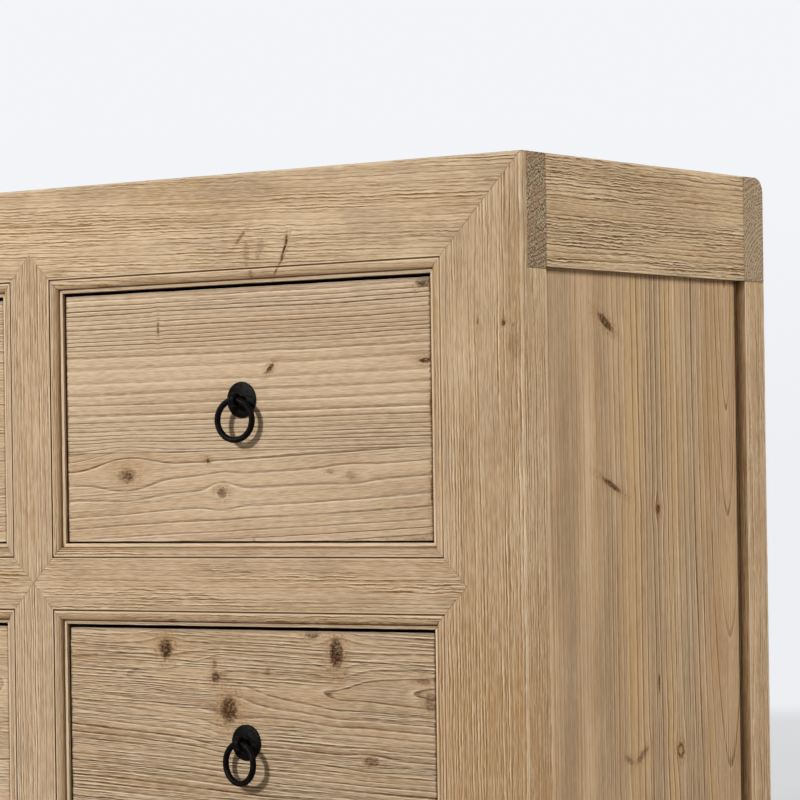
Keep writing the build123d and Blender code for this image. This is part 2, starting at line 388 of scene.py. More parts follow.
class PineShader:
    """Draws one pine finish with nodes."""

    glue_shift: float = 371.0
    dullness: float = 0.74
    specular: float = 0.12
    # The next five colours are painted shade and a painted shadow for the moulding and a drawer's upper rim;
    # the two after them are dirt with painted shade in corners.
    bead_shade: RGB = (0.30, 0.165, 0.075)
    bead_foot_shade: RGB = (0.10, 0.045, 0.012)
    fillet_shade: RGB = (0.17, 0.082, 0.030)
    painted_gap_shade: RGB = (0.040, 0.014, 0.003)
    rim_painted_shadow: RGB = (0.15, 0.075, 0.045)
    corner_dirt_and_shade: RGB = (0.150, 0.072, 0.022)
    deep_dirt_and_shade: RGB = (0.040, 0.015, 0.003)
    seam_grime: RGB = (0.115, 0.052, 0.018)
    cut_dark: RGB = (0.090, 0.056, 0.026)
    cut_pale: RGB = (0.64, 0.485, 0.325)
    cut_stain: RGB = (0.36, 0.215, 0.120)
    cut_arc: RGB = (0.60, 0.46, 0.32)
    cut_line: RGB = (0.11, 0.066, 0.032)

    def __init__(self, finish: PineFinish) -> None:
        """Read the board's coordinates and start the colour and the height.

        Args:
            finish: The finish to draw.
        """
        self.finish = finish
        self.kit = MaterialKit(finish.name)
        self.along, self.across, self.deep = self.kit.parts(self.kit.attribute("board"))
        seed = self.kit.attribute("seed", "Fac")
        for line in finish.glue_lines:
            seed = seed + self.across.math("GREATER_THAN", line) * self.glue_shift
        self.seed = seed
        near = self.kit.point(self.along * 0.22 + seed, self.across * 0.30, self.deep * 0.30)
        slow = self.along * (1.0 / finish.ripple_length) + seed
        wide = self.kit.point(slow, self.across * 0.07, self.deep * 0.07)
        ripple = (self.kit.noise(wide, 2.0) - 0.5) * (finish.ripple * 4.0)
        self.shake = (self.kit.noise(near, 1.0) - 0.5) * finish.jitter + ripple
        low = finish.low_board
        below = self.across.math("LESS_THAN", finish.glue_lines[0]) if low else 0.0
        self.density = 1.0 - below * (1.0 - 1.0 / low.spacing) if low else 1.0
        self.fineness = 1.0 - below * (1.0 - low.fibres) if low else 1.0
        self.slant = self.along * (below * low.slope + finish.slope if low else finish.slope)
        self.run = self.along + seed * 1.7
        self.lane = self.across + self.slant + seed * 0.37 + self.shake
        self.layer = self.deep + seed * 0.11
        self.color = self.kit.mix(0.0, finish.pale, finish.pale)
        self.height = self.deep * 0.0

    def grain_noise(self, length: float, width: float, detail: float = 2.0, shift: float = 0.0) -> Val:
        """Noise drawn out along the grain.

        Args:
            length: Size of its features along the grain.
            width: Their size across it.
            detail: How many finer layers it has.
            shift: Moves it away from another noise of the same size.

        Returns:
            Values about one half.
        """
        along = self.run * (1.0 / length) + shift
        place = self.kit.point(along, self.lane * (1.0 / width), self.layer * (1.0 / width))
        return self.kit.noise(place, detail, 0.55)

    def tint(self, share: Val | float, color: RGB) -> None:
        """Mix a colour into the surface."""
        self.color = self.kit.mix(share, self.color, color)

    def rings(self) -> Val:
        """Work out which growth ring each place is in.

        Returns:
            A number that grows by one from ring to ring.
        """
        finish = self.finish
        long_way = self.grain_noise(330.0, 80.0, 1.0) - 0.5
        side = self.across + self.slant - finish.heart_across + long_way * (finish.wander * 4.0)
        side = side + self.shake - self.knot_push()
        depth = self.deep + self.along * finish.tilt + finish.heart_depth + long_way * (finish.wander * 2.0)
        reach = (side * side + depth * depth).math("SQRT")
        self.steep = (side / reach).math("ABSOLUTE").math("MAXIMUM", 0.30)
        radius = reach + self.seed * 0.31
        if finish.swell:
            turn = (side + finish.heart_across - finish.dense_at) * (math.tau / finish.swell_period)
            radius = radius - turn.math("SINE") * finish.swell
        uneven = self.kit.noise(self.kit.point(radius * 0.022, self.seed, 0.5), 1.0)
        return (radius + uneven * 26.0) * self.density / finish.pitch

    def knot_distance(self, knot: Knot) -> Val:
        """Measure how far each place is from a knot.

        Args:
            knot: The knot.

        Returns:
            Square of the distance from its middle, in the knot's own sizes.
        """
        along = self.along - self.across * knot.lean if knot.lean else self.along
        place = self.kit.point(along, self.across, 0.0)
        gap = self.kit.vector("SUBTRACT", place, (knot.along - knot.across * knot.lean, knot.across, 0.0))
        scaled = self.kit.vector("MULTIPLY", gap, (1.0 / (knot.size * knot.stretch), 1.0 / knot.size, 0.0))
        return self.kit.vector("DOT_PRODUCT", scaled, scaled, "Value")

    def knot_push(self) -> Val | float:
        """Work out how far the knots part the rings on their two sides.

        Returns:
            Millimetres across the grain.
        """
        push = 0.0
        for knot in self.finish.knots:
            if knot.swirl > 0.0:
                near = (self.knot_distance(knot) * -0.075).math("EXPONENT")
                side = ((self.across - knot.across) / knot.size).math("TANH")
                push = near * side * knot.swirl + push
        return push

    def draw_tone(self) -> None:
        """Lay the pale and tan ground with its warm and grey bands."""
        finish = self.finish
        patch = self.grain_noise(240.0, 30.0, 2.0, 1.0)
        band = self.grain_noise(620.0, 18.0, 2.0, 9.0)
        self.tint(patch.step(0.40, 0.60), finish.tan)
        self.tint(band.step(0.50, 0.66) * (finish.bands * 0.75), finish.warm)
        self.tint(band.step(0.47, 0.33) * (finish.bands * 0.65), finish.grey)
        place = self.kit.point(self.run * 0.014, self.lane * 0.027, self.layer * 0.027 + 5.0)
        cloud = self.kit.noise(place, 2.0)
        self.tint(cloud.step(0.50, 0.66) * finish.mottle, finish.grey)
        self.tint(cloud.step(0.50, 0.34) * (finish.mottle * 0.45), finish.ridge)
        if finish.tail:
            self.tint(self.along.step(70.0, -110.0) * finish.tail, finish.warm)
        drifted = self.across + (self.grain_noise(260.0, 60.0, 1.0, 17.0) - 0.5) * 26.0
        for stripe in finish.stripes:
            self.tint(drifted.bell(stripe.across, stripe.half) * stripe.share, getattr(finish, stripe.tone))

    def draw_rings(self) -> None:
        """Draw the dark late wood and the bright ridge beside it, worn pale and with a painted highlight."""
        finish = self.finish
        ring = self.rings()
        phase = ring.math("FRACT")
        chance = self.kit.chance(ring.math("FLOOR") + self.seed, "1D")
        fade = self.grain_noise(120.0, 5.0, 1.0, 3.0).step(0.30, 0.60)
        strength = (chance * 0.65 + 0.35) * (fade * (1.0 - finish.steady) + finish.steady) * self.liveliness()
        thin = self.steep * self.density * (finish.line_width / finish.pitch)
        line = phase.step(1.0 - thin * 1.5, 1.0 - thin * 0.7) * phase.step(1.0, 1.0 - thin * 0.2) * strength
        body = (phase ** 3.0) * strength
        ridge_highlight = phase.step(thin * 1.3, thin * 0.3) * strength * self.steep
        self.ring_line = line
        self.ring_arc = phase.within((0.20, 0.45, 0.72, 0.95)) * (chance * 0.5 + 0.5)
        self.tint(body * (finish.lines * finish.body), finish.warm)
        self.tint(line * finish.lines, finish.late)
        # painted highlight: the worn ridge beside each dark line is brightened as raking light would light it
        self.tint(ridge_highlight * finish.ridges, finish.ridge)
        self.height = self.height + ridge_highlight * (0.7 * finish.ridges) - line * (0.7 * finish.lines)

    def liveliness(self) -> Val | float:
        """Weaken the lines over each quiet stretch across the board.

        Returns:
            How strong they are, 1 outside the quiet stretches.
        """
        strength = 1.0
        for middle, half, share in self.finish.quiet:
            strength = (1.0 - self.across.bell(middle, half) * share) * strength
        return strength

    def fibre(self, length: float, width: float, shift: float) -> tuple[Val, Val]:
        """Draw broken lines that run side by side, each dark with a pale one beside it.

        Args:
            length: Length of a line's pieces.
            width: Distance between lines.
            shift: Makes one set differ from another.

        Returns:
            Masks of the dark and of the pale lines.
        """
        strand = (self.lane + self.layer * 0.9 + shift) / width
        count = strand.math("FLOOR")
        chance = self.kit.chance(self.kit.point(count, shift, 0.0), "2D")
        away = (strand.math("FRACT") - (chance * 0.35 + 0.30)) * width
        broken = self.kit.noise(self.kit.point(self.run * (1.0 / length), count * 7.31, shift), 2.0, 0.6)
        here = broken.step(0.41, 0.60)
        dark = away.math("ABSOLUTE").step(0.72, 0.22) * here
        pale = (away - 0.95).math("ABSOLUTE").step(0.70, 0.20) * here
        return dark, pale

    def draw_strokes(self) -> None:
        """Draw the brushed fibres: furrows, thin dark threads, short strokes and fine hair."""
        finish = self.finish
        furrow = self.grain_noise(finish.stroke_length * 4.0, 3.4, 2.0, 2.0)
        stroke = self.grain_noise(finish.stroke_length, 1.2, 2.0, 4.0)
        hair = self.grain_noise(12.0, 0.9, 1.0, 6.0)
        strong = self.grain_noise(170.0, 18.0, 1.0, 12.0).step(0.40, 0.60) * 0.80 + 0.20
        strong = strong * self.liveliness() * self.fineness
        self.tint(furrow.step(0.52, 0.70) * (finish.furrows * 0.40), finish.warm)
        self.tint(furrow.step(0.47, 0.30) * (finish.furrows * 0.40), finish.ridge)
        self.tint(stroke.step(0.54, 0.70) * strong * (finish.strokes * 0.70), finish.late)
        self.tint(stroke.step(0.46, 0.30) * strong * (finish.strokes * 0.60), finish.ridge)
        for length, width, shift in ((2.2, 4.7, 8.0), (1.2, 2.9, 14.0), (0.7, 3.3, 23.0)):
            dark, pale = self.fibre(finish.stroke_length * length, width, shift)
            self.tint(pale * strong * (finish.threads * 0.80), finish.ridge)
            self.tint(dark * strong * finish.threads, finish.late)
            self.height = self.height - dark * strong * (finish.threads * 0.4)
        self.tint(hair.step(0.48, 0.70) * finish.hair, finish.late)
        self.tint(hair.step(0.50, 0.30) * finish.hair, finish.ridge)
        self.hair = hair
        self.height = self.height - (furrow - 0.5) * (finish.furrows * 3.0)
        self.height = self.height - (stroke - 0.5) * (finish.strokes * 1.2) + hair * 0.12

    def draw_knots(self) -> None:
        """Draw each knot's dark, gritty core and a warm halo round it."""
        finish = self.finish
        core = None
        halo = None
        for knot in finish.knots:
            near = self.knot_distance(knot)
            spot = near.step(1.9, 0.25) * knot.dark
            if knot.hollow:
                spot = spot * (1.0 - near.step(0.55, 0.10) * knot.hollow)
            wide = near.step(9.0, 0.6) * knot.dark
            core = spot if core is None else core.math("MAXIMUM", spot)
            halo = wide if halo is None else halo.math("MAXIMUM", wide)
        if core is None:
            return
        place = self.kit.point(self.along * 0.30, self.across * 0.42, self.deep * 0.42)
        grit = self.kit.noise(place, 3.0, 0.7)
        mask = core * (grit.step(0.36, 0.54) * 0.50 + 0.50)
        self.tint(halo * 0.40, finish.warm)
        self.tint(halo * grit.step(0.52, 0.62) * 0.60, finish.late)
        self.tint(mask, finish.knot_color)
        self.height = self.height - mask * 0.6 - halo * grit * 0.5

    def draw_edges(self) -> None:
        """Rub the long arrises pale, paint a little shade on the ends, and paint the shadow of the rail above
        on the upper rim.
        """
        finish = self.finish
        half_along, half_across, half_deep = self.kit.parts(self.kit.attribute("half"))
        to_end = half_along - self.along.math("ABSOLUTE")
        to_side = half_across - self.across.math("ABSOLUTE")
        to_face = half_deep - self.deep.math("ABSOLUTE")
        ragged = self.grain_noise(22.0, 3.4, 2.0, 7.0) - 0.5
        arris = to_side.math("MAXIMUM", to_face) + ragged * 6.0
        self.tint(arris.step(3.4, 0.4) * 0.40, finish.ridge)
        # painted shade: the ends darken a little near their arrises, where they meet gaps and joints
        ends = to_end.math("MAXIMUM", to_side.math("MINIMUM", to_face)) + ragged * finish.ragged
        self.tint(ends.step(2.4, 0.0) * (finish.ragged * 0.15), finish.late)
        # painted shadow of the rail above on the upper rim
        lid = half_across - self.across + ragged * 1.5
        self.tint(lid.step(3.0, 1.2) * finish.rim, self.rim_painted_shadow)

    def draw_end_grain(self) -> None:
        """Draw the greyish ring ends where a face is cut across the grain."""
        facing = self.kit.add("ShaderNodeTexCoord", {}, {}, "Normal")
        turned = self.kit.vector("DOT_PRODUCT", facing, self.kit.attribute("axis"), "Value")
        mask = turned.math("ABSOLUTE").step(0.72, 0.90)
        place = self.kit.point(self.along * 0.3, self.lane * 0.60, self.layer * 0.85)
        speck = self.kit.noise(place, 3.0, 0.75)
        patch = self.kit.noise(self.kit.point(self.seed, self.lane * 0.05, self.layer * 0.09), 2.0)
        ends = self.kit.mix(speck.step(0.42, 0.58), self.cut_dark, self.cut_pale)
        ends = self.kit.mix(patch.step(0.45, 0.62) * 0.45, ends, self.cut_stain)
        ends = self.kit.mix(self.ring_arc * self.finish.arcs, ends, self.cut_arc)
        ends = self.kit.mix(self.ring_line * (0.90 - self.finish.arcs), ends, self.cut_line)
        self.color = self.kit.mix(mask, self.color, ends)
        self.height = self.height + mask * speck * 0.9

    def draw_joints(self) -> None:
        """Draw the glued board joints and the dark seams at mitres, and darken the corners with dirt and
        painted shade.
        """
        finish = self.finish
        for line in finish.glue_lines:
            joint = (self.across - line).math("ABSOLUTE").step(0.8, 0.1)
            self.tint(joint * 0.55, finish.late)
            self.height = self.height - joint * 0.5
        dirt_and_shade = self.kit.attribute("dirt_and_shade", "Fac")
        # dirt and painted shade: corners darken by how enclosed each point is
        self.tint(dirt_and_shade.step(0.08, 0.50) * 0.74, self.corner_dirt_and_shade)
        self.tint(dirt_and_shade.step(0.46, 0.76) * 0.80, self.deep_dirt_and_shade)
        seam = self.kit.attribute("seam", "Fac")
        broken = self.grain_noise(16.0, 5.0, 2.0, 31.0).step(0.44, 0.58)
        self.tint(seam * 0.30, finish.ridge)
        self.tint(seam * (broken * 0.7 + 0.3) * finish.seams, self.seam_grime)

    def draw_moulding(self) -> None:
        """Paint shade into the moulding's quirk, on its bead, at the bead's foot, on the fillet above an
        opening and in the gap, and paint highlights on its lips and fillet.
        """
        finish = self.finish
        away, sunk, above = self.kit.parts(self.kit.attribute("moulding"))
        ragged = (self.grain_noise(24.0, 3.0, 2.0, 21.0) - 0.5) * 1.6
        uneven = self.grain_noise(60.0, 8.0, 1.0, 25.0).step(0.30, 0.55) * 0.35 + 0.65
        away = away + ragged * 0.25
        # painted highlights on the moulding's inner and outer lips
        self.tint(away.within(Moulding.inner_lip) * 0.55, finish.ridge)
        self.tint(away.within(Moulding.outer_lip) * 0.45, finish.ridge)
        # painted shade on the bead's inner slope
        self.tint(away.within(Moulding.bead_shade) * 0.50, self.bead_shade)
        # painted shade at the bead's foot, darker above an opening
        self.tint(away.within(Moulding.bead_foot) * uneven * (above * 0.30 + 0.55), self.bead_foot_shade)
        # painted highlight on the fillet, weaker above an opening
        self.tint(away.within(Moulding.fillet) * (0.45 - above * 0.10), finish.ridge)
        # painted shade on the fillet above an opening
        self.tint(away.within(Moulding.shaded_fillet) * above * 0.22, self.fillet_shade)
        # painted shade in the quirk groove, tinted by the quirk tone
        self.tint(away.within(Moulding.quirk) * uneven * finish.quirk, finish.quirk_tone)
        # painted shade deep in the gap round each drawer opening
        inside = (sunk + ragged).step(7.0, 8.2) * sunk.step(22.0, 12.0) * away.within(Moulding.gap)
        self.tint(inside * finish.gloom, self.painted_gap_shade)

    def build(self) -> bpy.types.Material:
        """Draw every layer in order.

        Returns:
            The finished material.
        """
        self.draw_tone()
        self.draw_rings()
        self.draw_strokes()
        self.draw_knots()
        self.draw_edges()
        self.draw_end_grain()
        self.draw_joints()
        self.draw_moulding()
        self.kit.feed(self.kit.shader, {"Normal": self.kit.bump(self.height, self.finish.relief)})
        return self.kit.finish(self.color, self.hair * 0.14 + self.dullness, self.specular)


@dataclass(frozen=True)
class IronFinish:
    """Blackened forged iron with a soft sheen."""

    name: str = "blackened_iron"
    black: RGB = (0.0022, 0.0018, 0.0016)
    rubbed: RGB = (0.0075, 0.0070, 0.0062)
    rust: RGB = (0.018, 0.009, 0.006)

    def dress(self) -> bpy.types.Material:
        """Build the material.

        Returns:
            The material.
        """
        kit = MaterialKit(self.name)
        place = kit.add("ShaderNodeTexCoord", {}, {}, "Object")
        x, y, z = kit.parts(kit.add("ShaderNodeMapping", {}, {"Vector": place, "Scale": (1.0 / MM,) * 3}))
        dents = kit.noise(kit.point(x * 0.22, y * 0.22, z * 0.22), 2.0)
        grit = kit.noise(kit.point(x * 1.3, y * 1.3, z * 1.3), 3.0, 0.65)
        color = kit.mix(dents.step(0.45, 0.70), self.black, self.rubbed)
        color = kit.mix(grit.step(0.60, 0.75) * 0.5, color, self.rust)
        kit.feed(kit.shader, {"Normal": kit.bump(dents * 0.9 + grit * 0.14, 0.7)})
        return kit.finish(color, grit * 0.25 + 0.34, 0.09)


@dataclass(frozen=True)
class FloorFinish:
    """Pale matt floor whose far part fades into the background.

    veil is the share of the background's colour that the camera sees over the whole floor.
    """

    name: str = "studio_floor"
    near: RGB = (0.42, 0.42, 0.39)
    far: RGB = (0.847, 0.863, 0.896)
    fade_from: float = 3.3
    fade_to: float = 3.9
    veil: float = 0.66

    def dress(self) -> bpy.types.Material:
        """Build the material.

        Returns:
            The material.
        """
        kit = MaterialKit(self.name)
        x, y, z = kit.parts(kit.add("ShaderNodeTexCoord", {}, {}, "Object"))
        cloud = kit.noise(kit.point(x * 1.5, y * 1.5, z), 2.0)
        kit.finish(kit.mix(cloud, self.near, tuple(c * 0.98 for c in self.near)), 0.9, 0.2)
        fade = (x * x + y * y).math("SQRT").step(self.fade_from, self.fade_to)
        seen = kit.add("ShaderNodeLightPath", {}, {}, "Is Camera Ray")
        share = (fade * (1.0 - self.veil) + self.veil) * seen
        glow = kit.add("ShaderNodeEmission", {}, {"Color": (*self.far, 1.0), "Strength": 1.0})
        both = kit.add("ShaderNodeMixShader", {}, {0: share, 1: kit.shader.outputs[0], 2: glow})
        kit.feed(kit.output, {"Surface": both})
        return kit.material


class DirtAndShade:
    """Finds how enclosed the points of a body's boards are, for dirt and painted shade in corners."""

    rays: int = 20
    reach: float = 11.0 * MM
    lift: float = 0.25 * MM
    grazing: float = 0.05

    def __init__(self, body: str, own_node: str, own: bmesh.types.BMesh) -> None:
        """Index a board and the other boards of its body.

        Args:
            body: The body that the board rides on.
            own_node: The board's CAD node.
            own: The board's softened mesh.
        """
        self.own = BVHTree.FromBMesh(own)
        verts: list[Vector] = []
        faces: list[tuple[int, ...]] = []
        for name in BODY_NODES[body]:
            if name != own_node and not name.startswith("pull_"):
                mesh = frame["nodes"][name].data
                first = len(verts)
                verts.extend(v.co for v in mesh.vertices)
                faces.extend(tuple(first + i for i in p.vertices) for p in mesh.polygons)
        self.others = BVHTree.FromPolygons(verts, faces) if faces else None
        self.directions = self.sphere()

    def sphere(self) -> list[Vector]:
        """Spread directions evenly over a sphere.

        Returns:
            As many directions as there are rays.
        """
        golden = math.pi * (3.0 - math.sqrt(5.0))
        found = []
        for i in range(self.rays):
            z = 1.0 - 2.0 * (i + 0.5) / self.rays
            ring = math.sqrt(1.0 - z * z)
            found.append(Vector((ring * math.cos(golden * i), ring * math.sin(golden * i), z)))
        return found

    def amount(self, place: Vector, normal: Vector) -> float:
        """Measure how enclosed a place is.

        Args:
            place: A point on the board.
            normal: Which way its surface faces.

        Returns:
            Share of the outward directions that something near blocks.
        """
        start = place + normal * self.lift
        total = 0.0
        blocked = 0.0
        for way in self.directions:
            lean = way.dot(normal)
            if lean > self.grazing:
                total += lean
                hit = self.own.ray_cast(start, way, self.reach)[3]
                if hit is None and self.others is not None:
                    hit = self.others.ray_cast(start, way, self.reach)[3]
                if hit is not None:
                    blocked += lean * (1.0 - hit / self.reach)
        return blocked / total if total else 0.0

    def touches(self, place: Vector, limit: float) -> bool:
        """Tell whether another board is near.

        Args:
            place: A point on the board.
            limit: How near counts, in metres.

        Returns:
            True if one is within the limit.
        """
        if self.others is None:
            return False
        return self.others.find_nearest(place, limit)[3] is not None


@dataclass
class Board:
    """One wooden piece of the chest, softened from its CAD shape.

    In millimetres, soften is the width of its broken arrises, station the distance between the
    cuts that let it wear, wobble how far it wears, and joint_reach how near a joint's two boards
    are. unevenness is how many waves of wear a metre holds. A board that is not seen gets no
    dirt and painted shade in its corners.
    """

    node: str
    body: str
    grain: Grain
    finish: bpy.types.Material
    slot: str
    soften: float = 0.45
    station: float = 14.0
    wobble: float = 0.25
    unevenness: float = 42.0
    joint_reach: float = 0.35
    seen: bool = True

    @classmethod
    def hidden(cls, node: str, body: str, grain: Grain, finish: bpy.types.Material, slot: str) -> "Board":
        """Make a board of the inside, cut coarser and without dirt and painted shade."""
        return cls(node, body, grain, finish, slot, station=40.0, seen=False)

    def build(self) -> bpy.types.Object:
        """Copy the CAD shape, break its arrises and dress it.

        Returns:
            The finished piece, riding on its body.
        """
        bm = bmesh.new()
        bm.from_mesh(frame["nodes"][self.node].data)
        bmesh.ops.remove_doubles(bm, verts=bm.verts, dist=WELD_DISTANCE)
        bmesh.ops.dissolve_limit(bm, angle_limit=FLAT_ANGLE, verts=bm.verts, edges=bm.edges)
        self.break_arrises(bm)
        self.slice_up(bm)
        self.wear_down(bm)
        self.collect_dirt_and_shade(bm)
        bmesh.ops.triangulate(bm, faces=[f for f in bm.faces if len(f.verts) > 4])
        mesh = bpy.data.meshes.new(self.node + "_board")
        bm.to_mesh(mesh)
        bm.free()
        self.mark(mesh)
        mesh.shade_smooth()
        mesh.set_sharp_from_angle(angle=SHARP_ANGLE)
        mesh.materials.append(self.finish)
        piece = bpy.data.objects.new(self.node + "_board", mesh)
        bpy.context.scene.collection.objects.link(piece)
        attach(piece, self.body)
        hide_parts(self.node)
        return piece

    def break_arrises(self, bm: bmesh.types.BMesh) -> None:
        """Round every sharp edge a little, and remember the faces that this makes.

        Args:
            bm: The board's mesh.
        """
        layer = bm.faces.layers.float.new("seam")
        sharp = [e for e in bm.edges if e.is_manifold and e.calc_face_angle(0.0) > ARRIS_ANGLE]
        made = bmesh.ops.bevel(
            bm,
            geom=sharp,
            offset=self.soften * MM,
            offset_type="OFFSET",
            segments=2,
            profile=0.5,
            affect="EDGES",
            clamp_overlap=True,
        )
        for face in made["faces"]:
            face[layer] = 1.0

    def slice_up(self, bm: bmesh.types.BMesh) -> None:
        """Cut the faces at even stations along and across the grain.

        Args:
            bm: The board's mesh.
        """
        for axis in self.grain.value[:2]:
            places = [v.co[axis] for v in bm.verts]
            low, high = min(places), max(places)
            count = max(2, round((high - low) / (self.station * MM)))
            normal = Vector([1.0 if i == axis else 0.0 for i in range(3)])
            for i in range(1, count):
                at = low + (high - low) * i / count
                whole = [*bm.verts, *bm.edges, *bm.faces]
                bmesh.ops.bisect_plane(bm, geom=whole, dist=1e-7, plane_co=normal * at, plane_no=normal)

    def wear_down(self, bm: bmesh.types.BMesh) -> None:
        """Rub the arrises in by an uneven fraction of a millimetre.

        Args:
            bm: The board's mesh.
        """
        bm.normal_update()
        low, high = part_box(self.node)
        sides = self.grain.value[1:]
        shift = Vector((self.seed(), 0.0, 0.0))
        moves = []
        for vert in bm.verts:
            gaps = [min(vert.co[i] - low[i], high[i] - vert.co[i]) for i in sides]
            close = max(0.0, 1.0 - max(gaps) / ARRIS_WIDTH)
            if close > 0.0:
                place = vert.co * self.unevenness + shift
                amount = (noise.noise(place) + 0.6 * noise.noise(place * 3.1) + 0.35) * self.wobble * MM
                moves.append((vert, vert.normal * -max(0.0, amount) * close))
        for vert, move in moves:
            vert.co += move

    def collect_dirt_and_shade(self, bm: bmesh.types.BMesh) -> None:
        """Store how enclosed each point is, for dirt and painted shade, and which arrises close a joint.

        Args:
            bm: The board's mesh.
        """
        bm.normal_update()
        dirt_and_shade = bm.verts.layers.float.new("dirt_and_shade")
        seam = bm.faces.layers.float["seam"]
        finder = DirtAndShade(self.body, self.node, bm)
        if self.seen:
            for vert in bm.verts:
                vert[dirt_and_shade] = finder.amount(vert.co, vert.normal)
        for face in bm.faces:
            middle = face.calc_center_median()
            if face[seam] > 0.0 and not finder.touches(middle, (self.soften + self.joint_reach) * MM):
                face[seam] = 0.0

    def seed(self) -> float:
        """Number that makes this board's grain its own."""
        return float(zlib.crc32(self.node.encode()) % SEED_COUNT)

    def mark(self, mesh: bpy.types.Mesh) -> None:
        """Store the board's own coordinates on its points.

        Args:
            mesh: The board's mesh.
        """
        low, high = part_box(self.node)
        middle = (low + high) / 2
        order = self.grain.value
        count = len(mesh.vertices)
        half = [(high[i] - low[i]) / 2 / MM for i in order]
        along = [1.0 if i == order[0] else 0.0 for i in range(3)]
        inside = Openings.front_board(low)
        board: list[float] = []
        moulding: list[float] = []
        for vert in mesh.vertices:
            board.extend((vert.co[i] - middle[i]) / MM for i in order)
            moulding.extend(Openings.place(vert.co) if inside else Openings.far)
        vectors = {"board": board, "half": half * count, "axis": along * count, "moulding": moulding}
        for name, values in vectors.items():
            mesh.attributes.new(name, "FLOAT_VECTOR", "POINT").data.foreach_set("vector", values)
        mesh.attributes.new("seed", "FLOAT", "POINT").data.foreach_set("value", [self.seed()] * count)


class Openings:
    """Tells where a point lies in the moulding round the nearest drawer opening."""

    side_gap: float = 2.0 * MM
    bottom_gap: float = 1.5 * MM
    top_gap: float = 3.0 * MM
    recess: float = 7.0 * MM
    rim: float = 0.5 * MM
    rounding: float = 0.01 * MM
    far: tuple[float, float, float] = (99.0, 0.0, 0.0)
    boxes: list[Band] = []
    face: float = 0.0

    @classmethod
    def measure(cls) -> None:
        """Read the front face and the openings from the CAD."""
        cls.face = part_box("front_top_rail")[0][1]
        for name in frame["nodes"]:
            if name.endswith("_front"):
                low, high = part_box(name)
                sides = (low.x - cls.side_gap, high.x + cls.side_gap)
                cls.boxes.append((*sides, low.z - cls.bottom_gap, high.z + cls.top_gap))

    @classmethod
    def front_board(cls, low: Vector) -> bool:
        """Tell whether a board that starts here reaches the front."""
        return low.y < cls.face + cls.recess

    @classmethod
    def place(cls, point: Vector) -> tuple[float, float, float]:
        """Place a point by its opening.

        Args:
            point: The point in the chest's frame.

        Returns:
            Millimetres outside the opening, millimetres behind the front, and 1 if it is above.
        """
        gaps = [max(x0 - point.x, point.x - x1, z0 - point.z, point.z - z1) for x0, x1, z0, z1 in cls.boxes]
        gap = min(gaps)
        top = cls.boxes[gaps.index(gap)][3]
        above = gap > -cls.rim and point.z - top >= gap - cls.rounding
        return gap / MM, (point.y - cls.face) / MM, float(above)


BODY_NODES: dict[str, list[str]] = {}


def sort_nodes() -> None:
    """List the CAD nodes by the body that carries them."""
    for body, empty in frame["bodies"].items():
        BODY_NODES[body] = [name for name, node in frame["nodes"].items() if node.parent == empty]


